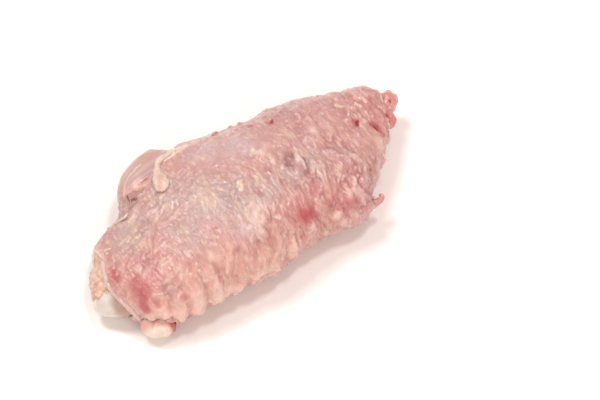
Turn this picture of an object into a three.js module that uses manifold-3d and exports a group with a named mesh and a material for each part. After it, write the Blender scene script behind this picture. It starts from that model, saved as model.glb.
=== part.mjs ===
// A raw chicken midwing: the flat middle joint of a wing, lying on its underside with the feathered face up.
// Millimetres. +X runs from the elbow to the wrist, +Y to the leading edge, +Z up, and z = 0 is the table.
// Its pieces are a sleeve of skin, the meat inside it with one muscle bare at the elbow, two bones that run
// from joint to joint, the fat and gristle of the elbow, and a drop of fat that hangs on the skin.

import * as THREE from "three";
import { mergeVertices } from "three/addons/utils/BufferGeometryUtils.js";
import Module from "manifold-3d";

const wasm = await Module();
wasm.setup();

// Driving dimensions
const SKIN = 1.3; // the skin with the thin fat under it
const GAP = 0.5; // between the skin and what it wraps
const SEAM = 0.35; // between the other pieces that touch
const CHANNEL = 0.55; // between a bone and the channel it lies in, which has fewer sides
const BULGE = 0.5; // how far the bare flesh swells past the line of the skin
const ELBOW_TIP = -46.3;
const WRIST_TIP = 52.6;
const ELBOW_ROUND = 6.5; // length over which the elbow end rounds off
const WRIST_ROUND = 5;
const LOBE_DEPTH = 1.4; // notch between two feather pockets of the trailing edge
const SWELL = 0.5; // height of the soft swells on the back
const WAIST = -28.6; // x of the fold between the bare muscle and the joint
const WAIST_DEPTH = 2.6;
const WAIST_WIDTH = 1.5;
const UNDER_RIM = 6; // height to which the skin of the underside wraps the bare muscle
const ABOVE_ALL = 40; // height of the blocks that cut the openings
const BELOW_ALL = -5;

// The section: how squared off it is, 2 being an ellipse, where its widest line lies as a share of its
// height, and how much of its height the back gains towards the trailing edge
const SQUARENESS = 2.3;
const WIDEST = 0.42;
const TRAILING_LIFT = 0.14;

// Facets round and along the skin and the flesh, and how closely they crowd to the back and to the ends
const SKIN_FACETS = [46, 52];
const FLESH_FACETS = [26, 34];
const BACK_CROWDING = 0.25;
const END_CROWDING = 0.06;

// Outline seen from above, as y at each x
const leadingEdge = through([
  [-46.3, -2], [-44, 4.6], [-40, 11], [-36, 13.6], [-31, 16], [-27.4, 19.2], [-23.4, 24.4], [-17, 27.4],
  [-12, 27.8], [-4, 25.6], [4, 24], [14, 23.2], [21, 24], [28, 23.7], [34, 21.7], [42, 19.8], [48, 18],
  [51, 14.6], [52.6, 10.6],
]);
const trailingEdge = through([
  [-46.3, -4.6], [-44, -6.6], [-40, -10.4], [-36, -15.8], [-32, -17.8], [-25, -18.9], [-12, -18.8],
  [-1, -19.2], [6, -17.4], [14, -16.2], [20, -16], [25, -17.6], [29, -15], [34, -9.5], [40, -4.2],
  [46, 2.4], [50, 6.8], [52.6, 9.6],
]);

// Height of the back and of the underside at each x
const crown = through([
  [-46.3, 9], [-42, 12.4], [-36, 15.6], [-28, 18.6], [-18, 21.4], [-4, 22.8], [12, 21.8], [28, 18.8],
  [42, 15], [52.6, 11.5],
]);
const keel = through([
  [-46.3, 2], [-40, 0.2], [-30, -0.7], [0, -0.9], [26, -0.8], [38, 0.4], [46, 2.4], [52.6, 4.5],
]);

// Openings of the skin seen from above: the bay over the bare muscle, the elbow end and the wrist end
const bay = outline([
  [-3.5, 30], [-7.2, 24], [-12.1, 21.7], [-16.2, 19.1], [-20, 15.6], [-23, 13.9], [-26, 12.4], [-29, 11.9],
  [-33.3, 12.9], [-36.5, 12.4], [-39.4, 10.6], [-48, 7], [-52, 30], [-30, 44], [-6, 40],
]);
const elbowOpening = outline([
  [-38, 16], [-39.4, 11.2], [-39.8, 7], [-40.3, 2.2], [-41.8, -1], [-42, -4.8], [-40.7, -7.7],
  [-39.3, -10.1], [-38.3, -12.4], [-37, -14.8], [-37, -20], [-56, -22], [-60, 0], [-54, 22], [-42, 26],
]);
const wristOpening = outline([
  [43.6, -5], [45.4, 1.4], [46.6, 4.6], [48, 7.8], [49.6, 11], [49.6, 14.4], [49, 19], [50, 26], [62, 24],
  [64, 4], [54, -10],
]);

// Notches between the pockets of the flight feathers, as x along the trailing edge
const notches = [-31.5, -26.8, -21.4, -16.4, -9.9, -3.6, 2.2, 8, 13.6, 19.4, 25, 30.5];

/** A smooth function of x through a few stations [x, value], level past both ends. */
function through(stations) {
  const last = stations.length - 1;
  const slopeAt = (i) => {
    const before = stations[Math.max(i - 1, 0)];
    const after = stations[Math.min(i + 1, last)];
    return (after[1] - before[1]) / (after[0] - before[0]);
  };
  return (x) => {
    let i = 0;
    while (i < last - 1 && x > stations[i + 1][0]) i += 1;
    const [x0, y0] = stations[i];
    const [x1, y1] = stations[i + 1];
    const span = x1 - x0;
    const t = THREE.MathUtils.clamp((x - x0) / span, 0, 1);
    const rise = t * t * (3 - 2 * t);
    const bend = slopeAt(i) * t * (1 - t) ** 2 - slopeAt(i + 1) * t * t * (1 - t);
    return y0 + (y1 - y0) * rise + span * bend;
  };
}

/** A closed, smooth line in the XY plane through a few points, as many short straights. */
function outline(points) {
  const corners = points.map(([x, y]) => new THREE.Vector3(x, y, 0));
  const curve = new THREE.CatmullRomCurve3(corners, true, "centripetal");
  return curve.getPoints(points.length * 5).slice(0, -1).map((p) => new THREE.Vector2(p.x, p.y));
}

/** How far a point lies inside a closed line, or 0 outside it. */
function depthInside(line, x, y) {
  const point = new THREE.Vector2(x, y);
  let inside = false;
  let nearest = Infinity;
  line.forEach((a, i) => {
    const b = line[(i + 1) % line.length];
    const crosses = a.y > y !== b.y > y;
    if (crosses && x < a.x + ((b.x - a.x) * (y - a.y)) / (b.y - a.y)) inside = !inside;
    nearest = Math.min(nearest, a.distanceTo(point));
  });
  return inside ? nearest : 0;
}

/** A power that keeps the sign, for squared-off circles. */
function signedPower(value, power) {
  return Math.sign(value) * Math.abs(value) ** power;
}

/** How much wider a wall set at a slope is across than through. */
function slantOf(edge, x) {
  const step = 0.5;
  const slope = (edge(x + step) - edge(x - step)) / (2 * step);
  return Math.min(Math.hypot(1, slope), 3);
}

/** How nearly the form is closed towards its two ends: 0 at the tip of an end, 1 along the body. */
function endSize(x) {
  const fromElbow = THREE.MathUtils.clamp((x - ELBOW_TIP) / ELBOW_ROUND, 0, 1);
  const fromWrist = THREE.MathUtils.clamp((WRIST_TIP - x) / WRIST_ROUND, 0, 1);
  return Math.sqrt(1 - (1 - fromElbow) ** 2) * Math.sqrt(1 - (1 - fromWrist) ** 2);
}

/**
 * A point on the wing's form at x, at an angle round its section: 0 is the leading edge, a quarter turn the
 * back, half a turn the trailing edge. inset is the depth under the form.
 */
function formPoint(x, angle, inset = 0) {
  const size = endSize(x);
  const lead = leadingEdge(x) - inset * slantOf(leadingEdge, x);
  const trail = trailingEdge(x) + inset * slantOf(trailingEdge, x);
  const half = Math.max((lead - trail) / 2, 0.4) * size ** 0.3;
  const low = keel(x) + inset;
  const high = crown(x) - inset;
  const widest = low + WIDEST * (high - low);
  const across = signedPower(Math.cos(angle), 2 / SQUARENESS);
  const up = signedPower(Math.sin(angle), 2 / SQUARENESS);
  const rise = up > 0 ? (high - widest) * (1 - TRAILING_LIFT * across) : widest - low;
  const z = widest + rise * up * size;
  return new THREE.Vector3(x, (lead + trail) / 2 + half * across, Math.max(z, inset, 0));
}

/** How deep x lies in a feather pocket of the trailing edge: 1 in the middle of a lobe, 0 in a notch. */
function lobeAt(x) {
  const next = notches.findIndex((notch) => notch > x);
  if (next < 1) return 0.7;
  const share = (x - notches[next - 1]) / (notches[next] - notches[next - 1]);
  return Math.sqrt(Math.sin(Math.PI * share));
}

/** Height of the skin's coarse relief: feather pockets along the trailing edge, soft swells over the back. */
function relief(x, angle) {
  const trailing = THREE.MathUtils.smoothstep(-Math.cos(angle), 0.35, 0.98);
  const lobes = (lobeAt(x) - 0.7) * LOBE_DEPTH * trailing;
  const back = Math.max(Math.sin(angle), 0);
  const across = 23 * Math.cos(angle);
  const alongSwell = Math.sin(0.7 * x + 1.2 * Math.sin(0.31 * across));
  const acrossSwell = Math.sin(0.4 * across + 0.9 * Math.sin(0.23 * x));
  return lobes + SWELL * back * alongSwell * acrossSwell;
}

/** A point on the outside of the skin, its relief included, grown outwards by spare. */
function skinPoint(x, angle, spare = 0) {
  const smooth = formPoint(x, angle, -spare);
  const centre = new THREE.Vector3(x, (leadingEdge(x) + trailingEdge(x)) / 2, 0.45 * crown(x));
  const outward = smooth.clone().sub(centre).normalize();
  const point = smooth.addScaledVector(outward, relief(x, angle));
  point.x = x;
  point.z = Math.max(point.z, -spare);
  return point;
}

/** Angle at a share of the way round, with more of the steps on the back than on the underside. */
function angleAt(share) {
  const turn = 2 * Math.PI * share;
  return turn + BACK_CROWDING * (Math.cos(turn) - 1);
}

/** A closed geometry whose rings run from the wrist to the elbow, each point laid by place(x, angle). */
function ringedGeometry(place, [around, along], crowding = 0) {
  const geometry = new THREE.SphereGeometry(1, around, along);
  const position = geometry.getAttribute("position");
  for (let ring = 0; ring <= along; ring += 1) {
    const share = ring / along;
    const x = THREE.MathUtils.lerp(WRIST_TIP, ELBOW_TIP, share - crowding * Math.sin(2 * Math.PI * share));
    for (let turn = 0; turn <= around; turn += 1) {
      let placed = place(x, angleAt((turn % around) / around));
      if (ring === 0) placed = formPoint(WRIST_TIP, 0);
      if (ring === along) placed = formPoint(ELBOW_TIP, 0);
      position.setXYZ(ring * (around + 1) + turn, placed.x, placed.y, placed.z);
    }
  }
  return geometry;
}

/** A point on the flesh: level under the skin, and rising to its line or past it where the skin is open. */
function fleshPoint(x, angle) {
  const inside = SKIN + GAP;
  const { y, z } = formPoint(x, angle, inside);
  const bareMuscle = depthInside(bay, x, y);
  const bareEnd = Math.max(depthInside(elbowOpening, x, y), depthInside(wristOpening, x, y));
  const aboveRim = THREE.MathUtils.smoothstep(z - UNDER_RIM, 1, 3.2);
  const muscleRise = THREE.MathUtils.smoothstep(bareMuscle, 0.8, 3.2) * aboveRim;
  const endRise = THREE.MathUtils.smoothstep(bareEnd, 0.8, 4);
  const fromWaist = (x - WAIST) / WAIST_WIDTH;
  const fold = WAIST_DEPTH * Math.exp(-(fromWaist ** 2)) * THREE.MathUtils.smoothstep(bareMuscle, 0, 2);
  const inset = THREE.MathUtils.lerp(inside, -BULGE, Math.max(muscleRise, endRise));
  return formPoint(x, angle, inset + fold);
}

/** An upright block over a closed line, between two heights. */
function blockOver(line, low = BELOW_ALL, high = ABOVE_ALL) {
  const shape = new THREE.Shape(line);
  return new THREE.ExtrudeGeometry(shape, { depth: high - low, bevelEnabled: false }).translate(0, 0, low);
}

/** A spindle along a curve, its half width given at each share of its length, its height a part of that. */
function spindleGeometry(points, thickness, height, [around, along], spare = 0) {
  const stations = points.map((p) => new THREE.Vector3(...p));
  const curve = new THREE.CatmullRomCurve3(stations, false, "centripetal");
  const geometry = new THREE.SphereGeometry(1, around, along);
  const position = geometry.getAttribute("position");
  for (let ring = 0; ring <= along; ring += 1) {
    const share = (1 - Math.cos((Math.PI * ring) / along)) / 2;
    const centre = curve.getPointAt(share);
    const tangent = curve.getTangentAt(share);
    const side = new THREE.Vector3(-tangent.y, tangent.x, 0).normalize();
    const up = new THREE.Vector3().crossVectors(tangent, side).normalize();
    if (ring === 0 || ring === along) centre.addScaledVector(tangent, ring ? spare : -spare);
    const closing = Math.sqrt(1 - (2 * share - 1) ** 12);
    const radius = (thickness(share) + spare) * closing;
    for (let turn = 0; turn <= around; turn += 1) {
      const angle = 2 * Math.PI * ((turn % around) / around);
      const placed = centre
        .clone()
        .addScaledVector(side, radius * Math.cos(angle))
        .addScaledVector(up, -radius * height * Math.sin(angle));
      position.setXYZ(ring * (around + 1) + turn, placed.x, placed.y, placed.z);
    }
  }
  return geometry;
}

/** A ball with its own radii along X, Y and Z, lumpy by a share of them and turned about Z. */
function lumpGeometry([x, y, z], [rx, ry, rz], turn, lumps, [around, along]) {
  const geometry = new THREE.SphereGeometry(1, around, along);
  const position = geometry.getAttribute("position");
  const point = new THREE.Vector3();
  for (let i = 0; i < position.count; i += 1) {
    point.fromBufferAttribute(position, i);
    const wave = Math.sin(3.1 * point.x + 1) * Math.sin(2.7 * point.y + 2) * Math.cos(3.3 * point.z);
    point.multiplyScalar(1 + lumps * wave);
    position.setXYZ(i, point.x * rx, point.y * ry, point.z * rz);
  }
  geometry.rotateZ(turn);
  return geometry.translate(x, y, z);
}

/** A closed geometry as a solid that can be joined and cut. */
function solidOf(geometry) {
  const bare = geometry.clone();
  bare.deleteAttribute("normal");
  bare.deleteAttribute("uv");
  const merged = mergeVertices(bare, 1e-4);
  const corners = merged.index.array;
  const kept = [];
  for (let i = 0; i < corners.length; i += 3) {
    const [a, b, c] = [corners[i], corners[i + 1], corners[i + 2]];
    if (a !== b && b !== c && c !== a) kept.push(a, b, c);
  }
  const vertProperties = merged.getAttribute("position").array;
  return new wasm.Manifold(new wasm.Mesh({ numProp: 3, vertProperties, triVerts: new Uint32Array(kept) }));
}

/** The largest body of a solid, without the scraps that cutting leaves. */
function largestOf(solid) {
  return solid.decompose().reduce((best, body) => (body.volume() > best.volume() ? body : best));
}

/** A solid as a geometry again. */
function geometryOf(solid) {
  const made = solid.getMesh();
  const geometry = new THREE.BufferGeometry();
  geometry.setAttribute("position", new THREE.BufferAttribute(new Float32Array(made.vertProperties), 3));
  geometry.setIndex(new THREE.BufferAttribute(new Uint32Array(made.triVerts), 1));
  geometry.computeVertexNormals();
  return geometry;
}

/** A point on the smooth back above a place in plan, lifted a little. */
function onBack(x, y, lift) {
  const middle = (leadingEdge(x) + trailingEdge(x)) / 2;
  const half = (leadingEdge(x) - trailingEdge(x)) / 2;
  const across = signedPower(THREE.MathUtils.clamp((y - middle) / half, -1, 1), SQUARENESS / 2);
  return [x, y, formPoint(x, Math.acos(across)).z + lift];
}

// The bones, thick at the elbow, with the channels they lie in
const ulnaLine = [
  [-46.4, -2.9, 5], [-40, -4, 5.7], [-20, -7.5, 8.5], [5, -7, 9.5], [28, -0.6, 9], [42, 6.2, 8.6],
  [49.4, 10.2, 8],
];
const ulnaWidth = through([
  [0, 4.2], [0.05, 5.5], [0.12, 5], [0.22, 3.4], [0.5, 3], [0.8, 2.6], [0.94, 2.6], [1, 2.2],
]);
const radiusLine = [
  [-43, 5, 7], [-34, 5.4, 8.4], [-10, 7.4, 9.8], [20, 10.6, 9.8], [40, 13.2, 9], [48.8, 14, 8.2],
];
const radiusWidth = through([[0, 2.4], [0.06, 2.7], [0.2, 1.9], [0.5, 1.7], [0.8, 1.7], [0.95, 2], [1, 1.6]]);
const ulna = solidOf(spindleGeometry(ulnaLine, ulnaWidth, 0.92, [14, 26]));
const radius = solidOf(spindleGeometry(radiusLine, radiusWidth, 0.9, [10, 18]));
const ulnaChannel = solidOf(spindleGeometry(ulnaLine, ulnaWidth, 0.92, [10, 18], CHANNEL));
const radiusChannel = solidOf(spindleGeometry(radiusLine, radiusWidth, 0.9, [8, 14], CHANNEL));

// The lump of gristle at the trailing corner of the elbow
const gristleLump = (spare) => {
  const radii = [4.2 + spare, 2.9 + spare, 3.4 + spare];
  return solidOf(lumpGeometry([-34.5, -15.2, 4.4], radii, -0.5, 0.06, [14, 10]));
};

// The skin, a shell with its openings cut and a curled tag left at the wrist's trailing corner
const outside = solidOf(ringedGeometry((x, angle) => skinPoint(x, angle), SKIN_FACETS));
const inside = solidOf(ringedGeometry((x, angle) => formPoint(x, angle, SKIN), FLESH_FACETS, END_CROWDING));
const tagLine = [[28.4, -12.3, 6.4], [30.8, -13.9, 6.8], [32.3, -13.8, 7.6], [32.5, -12.9, 8.6]];
const tagWidth = through([[0, 2.6], [0.45, 2], [0.8, 1.4], [1, 1]]);
const tag = solidOf(spindleGeometry(tagLine, tagWidth, 0.5, [10, 8]));
const skin = largestOf(
  outside
    .subtract(inside)
    .subtract(solidOf(blockOver(bay, UNDER_RIM)))
    .subtract(solidOf(blockOver(elbowOpening)))
    .subtract(solidOf(blockOver(wristOpening)))
    .subtract(gristleLump(SEAM))
    .subtract(ulnaChannel)
    .subtract(radiusChannel)
    .add(tag.subtract(inside)),
);

// The drop of fat that runs down the back from the edge of the skin
const dropLine = [
  onBack(-7.2, 20.9, 0.2), onBack(-10.7, 19.7, 0.3), onBack(-13.4, 19.6, 0.5), onBack(-15.3, 18.3, 0.7),
  onBack(-16.3, 16.2, 0.6), onBack(-17, 13.2, 0.3), onBack(-17.9, 9, -0.2),
];
const dropWidth = through([
  [0, 0.5], [0.15, 0.9], [0.35, 0.8], [0.5, 0.7], [0.6, 1.1], [0.72, 1.8], [0.86, 2.2], [0.96, 1.9], [1, 1.4],
]);
const clearOfSkin = solidOf(ringedGeometry((x, angle) => skinPoint(x, angle, SEAM), SKIN_FACETS));
const fatDrop = largestOf(solidOf(spindleGeometry(dropLine, dropWidth, 0.8, [12, 20])).subtract(clearOfSkin));

// The flesh, parted into the bare muscle, the fat of the elbow and the meat round the bones
const wristLobes = solidOf(lumpGeometry([50.4, 10.3, 8.6], [3.2, 2.3, 3.2], 0.5, 0.1, [12, 8]))
  .add(solidOf(lumpGeometry([47.6, 6.6, 7.4], [2.2, 2.8, 3.2], -0.3, 0.1, [12, 8])))
  .intersect(solidOf(blockOver(wristOpening, 0)).translate([GAP, 0, 0]));
const flesh = solidOf(ringedGeometry(fleshPoint, FLESH_FACETS, END_CROWDING))
  .add(wristLobes)
  .subtract(gristleLump(SEAM))
  .subtract(radiusChannel)
  .subtract(ulnaChannel);
const muscleLump = (spare) => {
  const radii = [19.4 + spare, 11 + spare, 16 + spare];
  return solidOf(lumpGeometry([-9, 21.5, 8], radii, 0, 0, [24, 16]));
};
const fatLump = (spare) => {
  const radii = [6 + spare, 8.2 + spare, 8 + spare];
  return solidOf(lumpGeometry([-42.8, 4.8, 8], radii, -0.5, 0.08, [14, 10]));
};
const extensor = largestOf(flesh.intersect(muscleLump(0)));
const elbowFat = largestOf(flesh.intersect(fatLump(0)));
const meat = largestOf(flesh.subtract(muscleLump(SEAM)).subtract(fatLump(SEAM)));

/** A named mesh with its own material. */
function piece(name, solid, colour, roughness) {
  const material = new THREE.MeshStandardMaterial({ color: colour, roughness, metalness: 0 });
  const mesh = new THREE.Mesh(geometryOf(solid), material);
  mesh.name = name;
  return mesh;
}

const wing = new THREE.Group();
wing.add(
  piece("skin", skin, 0xdfb3a6, 0.42),
  piece("meat", meat, 0xb8685f, 0.45),
  piece("extensor_muscle", extensor, 0xcf9a90, 0.38),
  piece("ulna", ulna, 0xe6ddd0, 0.4),
  piece("radius", radius, 0xe6d8c8, 0.4),
  piece("elbow_fat", elbowFat, 0xe9bfa2, 0.5),
  piece("elbow_gristle", gristleLump(0), 0xf0d9c4, 0.4),
  piece("fat_drop", fatDrop, 0xf3dcc2, 0.45),
);

// The origin is the middle of the wing's box, on the table
const box = new THREE.Box3().setFromObject(wing);
const middle = box.getCenter(new THREE.Vector3());
wing.position.set(-middle.x, -middle.y, -box.min.z);

export default new THREE.Group().add(wing);
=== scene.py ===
import math
import random

import bmesh
import bpy
import numpy as np
from mathutils import Matrix, Vector, kdtree, noise
from mathutils.bvhtree import BVHTree


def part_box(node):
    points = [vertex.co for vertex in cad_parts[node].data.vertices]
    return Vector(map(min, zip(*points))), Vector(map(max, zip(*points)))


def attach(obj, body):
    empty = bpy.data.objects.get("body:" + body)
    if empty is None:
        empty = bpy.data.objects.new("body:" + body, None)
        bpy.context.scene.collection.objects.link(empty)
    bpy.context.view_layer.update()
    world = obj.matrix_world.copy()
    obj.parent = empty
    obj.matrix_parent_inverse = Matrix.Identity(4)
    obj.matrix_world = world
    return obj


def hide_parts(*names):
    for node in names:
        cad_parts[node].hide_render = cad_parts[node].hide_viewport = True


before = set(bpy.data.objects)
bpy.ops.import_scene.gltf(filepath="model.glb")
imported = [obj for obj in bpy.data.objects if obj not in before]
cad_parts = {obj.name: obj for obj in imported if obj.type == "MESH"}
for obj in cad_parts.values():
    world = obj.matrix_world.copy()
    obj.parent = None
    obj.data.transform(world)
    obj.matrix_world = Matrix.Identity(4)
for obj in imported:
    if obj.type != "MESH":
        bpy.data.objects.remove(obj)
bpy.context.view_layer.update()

MM = 0.001
SEED = 11
random.seed(SEED)
noise.seed_set(SEED)

# The camera stands where the photograph's did. Pixels are those of the photograph
PHOTO_WIDTH, PHOTO_HEIGHT = 600, 400
AZIMUTH = math.radians(-31)
ELEVATION = math.radians(58)
DISTANCE = 650 * MM
LENS, SENSOR = 150, 36
CLIP_START = 10 * MM
ANCHOR = Vector((-3.426, -4.397, 10)) * MM  # a place inside the wing, and the pixel it lies at
ANCHOR_PIXEL = (244.5, 210.5)

TO_CAMERA = Vector((
    math.sin(AZIMUTH) * math.cos(ELEVATION),
    -math.cos(AZIMUTH) * math.cos(ELEVATION),
    math.sin(ELEVATION),
))
PICTURE_RIGHT = Vector((math.cos(AZIMUTH), math.sin(AZIMUTH), 0))
PICTURE_UP = TO_CAMERA.cross(PICTURE_RIGHT)
PIXEL = DISTANCE * SENSOR / LENS / PHOTO_WIDTH  # what one pixel covers at the wing


def camera_place():
    """Where the camera stands, so that the anchor lies at its pixel."""
    aside = (ANCHOR_PIXEL[0] - PHOTO_WIDTH / 2) * PIXEL
    below = (ANCHOR_PIXEL[1] - PHOTO_HEIGHT / 2) * PIXEL
    return ANCHOR - PICTURE_RIGHT * aside + PICTURE_UP * below + TO_CAMERA * DISTANCE


def look_along(thing, place, back):
    """Puts a camera or a lamp at a place, looking against the direction back."""
    thing.location = place
    thing.rotation_euler = back.to_track_quat("Z", "Y").to_euler()


def add_to_scene(name, data):
    """An object of a mesh, lamp or camera, in the scene."""
    thing = bpy.data.objects.new(name, data)
    bpy.context.scene.collection.objects.link(thing)
    return thing


def make_camera():
    """The camera: a long lens, far off."""
    data = bpy.data.cameras.new("camera")
    data.lens = LENS
    data.sensor_width = SENSOR
    data.clip_start = CLIP_START
    camera = add_to_scene("camera", data)
    look_along(camera, camera_place(), TO_CAMERA)
    bpy.context.scene.camera = camera


# name: direction it comes from, distance, side of its square, power in watts, colour. The key is a soft box
# behind the wing, and the glint a small lamp whose reflection the moisture shows
LAMPS = {
    "key": ((-0.25, 0.5, 1.2), 0.9, 0.25, 3.45, (1.0, 1.0, 1.0)),
    "glint": ((0.27, 0.0, 0.96), 0.9, 0.12, 1.9, (1.0, 1.0, 1.0)),
    "fill": ((-0.25, -1.0, 0.8), 1.3, 1.2, 7.0, (1.0, 0.93, 0.88)),
}
SKY = 0.45  # strength of the even light from all round
SKY_COLOUR = (1.0, 0.87, 0.81, 1.0)


def make_lights():
    """Soft studio light: three square lamps and an even sky."""
    for name, (direction, distance, side, power, colour) in LAMPS.items():
        data = bpy.data.lights.new(name, "AREA")
        data.size = side
        data.energy = power
        data.color = colour
        back = Vector(direction).normalized()
        look_along(add_to_scene(name, data), back * distance, back)
    world = bpy.data.worlds.new("studio")
    world.use_nodes = True
    background = world.node_tree.nodes["Background"]
    background.inputs["Color"].default_value = SKY_COLOUR
    background.inputs["Strength"].default_value = SKY
    bpy.context.scene.world = world
    bpy.context.scene.view_settings.view_transform = "Standard"


def linear(hex_colour):
    """An sRGB hex colour as linear RGBA."""
    values = [int(hex_colour[i:i + 2], 16) / 255 for i in (1, 3, 5)]
    return tuple(v / 12.92 if v <= 0.04045 else ((v + 0.055) / 1.055) ** 2.4 for v in values) + (1.0,)


def add(tree, kind, settings=None, links=None):
    """Adds a node. Settings go to its input sockets, by name or number, or else to the node itself."""
    node = tree.nodes.new(kind)
    for key, value in (settings or {}).items():
        if isinstance(key, int) or key in node.inputs:
            node.inputs[key].default_value = value
        else:
            setattr(node, key, value)
    for key, source in (links or {}).items():
        tree.links.new(source, node.inputs[key])
    return node


# A pattern's place is first moved about by a coarser noise, so that its patches look grown
WARP_SCALE = 1.3
WARP_REACH = (0.9, 0.9, 0.9)
PATCHES_ACROSS = 2  # patches to one cell of the noise
NOISE_LOW, NOISE_HIGH = 0.3, 0.7  # nearly all of a noise's values lie between these


def draw_patterns(tree, patterns):
    """Patterns by name, each a value over the piece: what it is, noise or the distance from scattered spots,
    the size of its patches in millimetres along X, Y and Z, their turn about Z in degrees, and its detail."""
    place = add(tree, "ShaderNodeTexCoord").outputs["Object"]
    drawn = {}
    for name, (what, size, turn, detail) in patterns.items():
        patch = [PATCHES_ACROSS * s * MM for s in size]
        rotation = (0, 0, math.radians(turn))
        wanted = {"vector_type": "TEXTURE", "Scale": patch, "Rotation": rotation}
        placed = add(tree, "ShaderNodeMapping", wanted, {"Vector": place}).outputs[0]
        warp = add(tree, "ShaderNodeTexNoise", {"Scale": WARP_SCALE, "Detail": 1}, {"Vector": placed})
        wanted = {"operation": "MULTIPLY_ADD", 1: WARP_REACH}
        links = {0: warp.outputs["Color"], 2: placed}
        moved = add(tree, "ShaderNodeVectorMath", wanted, links).outputs[0]
        if what == "noise":
            made = add(tree, "ShaderNodeTexNoise", {"Scale": 1, "Detail": detail}, {"Vector": moved})
            drawn[name] = made.outputs["Fac"]
        else:
            made = add(tree, "ShaderNodeTexVoronoi", {"Scale": 1}, {"Vector": moved})
            drawn[name] = made.outputs["Distance"]
    return drawn


def flesh(name, patterns, base, layers, rough, bumps, coat, depth=1.0):
    """A moist flesh. Light scatters in it, to a depth in millimetres, and a film of moisture gives glints.

    layers: colours laid one over the other, each by a pattern or by a share that the mesh carries, as its
    name, the values between which it comes in, its greatest share and the colour. rough: a pattern, and the
    roughness at its low and high end. bumps: patterns, each with its height in millimetres. coat: weight and
    roughness of the moisture.
    """
    material = bpy.data.materials.new(name)
    material.use_nodes = True
    tree = material.node_tree
    tree.nodes.clear()
    drawn = draw_patterns(tree, patterns)
    carried = {source for source, *_ in layers} - set(drawn)
    for key in sorted(carried):
        drawn[key] = add(tree, "ShaderNodeAttribute", {"attribute_name": key}).outputs["Fac"]
    colour = None
    for source, low, high, most, tone in layers:
        wanted = {1: low, 2: high, 4: most, "interpolation_type": "SMOOTHSTEP"}
        share = add(tree, "ShaderNodeMapRange", wanted, {0: drawn[source]}).outputs[0]
        wanted = {"data_type": "RGBA", 6: linear(base), 7: linear(tone)}
        links = {0: share, 6: colour} if colour else {0: share}
        colour = add(tree, "ShaderNodeMix", wanted, links).outputs[2]
    source, smoothest, roughest = rough
    wanted = {1: NOISE_LOW, 2: NOISE_HIGH, 3: smoothest, 4: roughest}
    roughness = add(tree, "ShaderNodeMapRange", wanted, {0: drawn[source]}).outputs[0]
    normal = None
    for source, rise in bumps:
        links = {"Height": drawn[source], "Normal": normal} if normal else {"Height": drawn[source]}
        normal = add(tree, "ShaderNodeBump", {"Strength": 1, "Distance": rise * MM}, links).outputs[0]
    wanted = {
        "IOR": 1.4,
        "Subsurface Weight": 0.3,
        "Subsurface Radius": (1.0, 0.4, 0.25),
        "Subsurface Scale": depth * MM,
        "Coat Weight": coat[0],
        "Coat Roughness": coat[1],
        "Coat IOR": 1.45,
    }
    links = {"Base Color": colour, "Roughness": roughness, "Normal": normal, "Coat Normal": normal}
    shader = add(tree, "ShaderNodeBsdfPrincipled", wanted, links)
    add(tree, "ShaderNodeOutputMaterial", {}, {"Surface": shader.outputs[0]})
    return material


def skin_material():
    """Raw chicken skin: thin, moist and translucent, so that pink muscle and yellow fat show through as a
    mottle, with cream grains of fat and small wet glints. Crests are painted paler as highlight, and creases
    painted darker and redder as shade; the lower edge is painted lighter as bounce light, the trailing side's
    peach is its own tone and partly painted bounce light, and the cut rim is pale and partly painted light.
    Its pores and finest creases are too fine to show, so "pores" and "ribbons" are drawn as coarse as a
    pixel, and "ribbons" also paints a faint sheen on the finest ridges."""
    patterns = {
        "broad": ("noise", (6, 7, 7), 0, 1),
        "cream": ("noise", (0.9, 2.2, 2.2), 0, 1),
        "mottle": ("noise", (0.6, 1.0, 1.0), 0, 1),
        "ribbons": ("noise", (0.28, 0.8, 0.8), 8, 2),
        "pores": ("noise", (0.2, 0.2, 0.2), 0, 1),
        "grains": ("spots", (1.3, 1.7, 1.7), 0, 0),
        "tan": ("noise", (1.1, 1.3, 1.3), 0, 1),
    }
    layers = (
        ("broad", 0.38, 0.62, 0.3, "#CC9890"),
        ("grey", 0, 1, 0.9, "#B9A39F"),
        ("pale", 0, 1, 0.9, "#CFB2B4"),
        ("pink", 0, 1, 0.85, "#CE8887"),
        # the trailing side's peach: its own tone, and partly painted warm bounce light
        ("peach", 0, 1, 0.85, "#E1A896"),
        # painted light: chiefly bounce light along the lower edge, and a few patches lighter
        ("light", 0, 1, 0.75, "#F4C8B8"),
        ("cream", 0.45, 0.8, 0.5, "#E8C9AE"),
        ("mottle", 0.48, 0.3, 0.25, "#BC8280"),
        # painted shade in the creases
        ("crease", 0, 1, 0.3, "#B87979"),
        ("mauve", 0, 1, 0.9, "#956A71"),
        # painted highlight on the relief's crests, then painted shade in its troughs
        ("relief", 0.05, 1, 0.5, "#F2D3C9"),
        ("relief", -0.05, -1, 0.5, "#B87672"),
        ("tan", 0.48, 0.75, 0.3, "#CC9A80"),
        ("grains", 0.26, 0.12, 0.4, "#EED6C6"),
        ("cream_patch", 0, 1, 0.7, "#E6C8B4"),
        # painted sheen on the finest ridges
        ("ribbons", 0.52, 0.72, 0.35, "#F6DDD2"),
        ("tissue", 0, 1, 0.8, "#E0C3AF"),
        ("red", 0, 1, 0.9, "#B8444C"),
        ("blood", 0, 1, 0.95, "#8E1722"),
        ("spot", 0, 1, 0.8, "#ECD5BF"),
        ("ring", 0, 1, 0.4, "#E4AC9C"),
        # the cut edge's pale rim: its own colour, and partly painted light on the shaded cut wall
        ("rim", 0, 1, 0.75, "#F1D5CC"),
    )
    bumps = (("cream", 0.15), ("mottle", 0.15), ("ribbons", 0.26), ("pores", 0.05))
    return flesh(
        "raw_chicken_skin", patterns, "#CB9996", layers, ("mottle", 0.3, 0.46), bumps, coat=(0.9, 0.1),
    )


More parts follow.
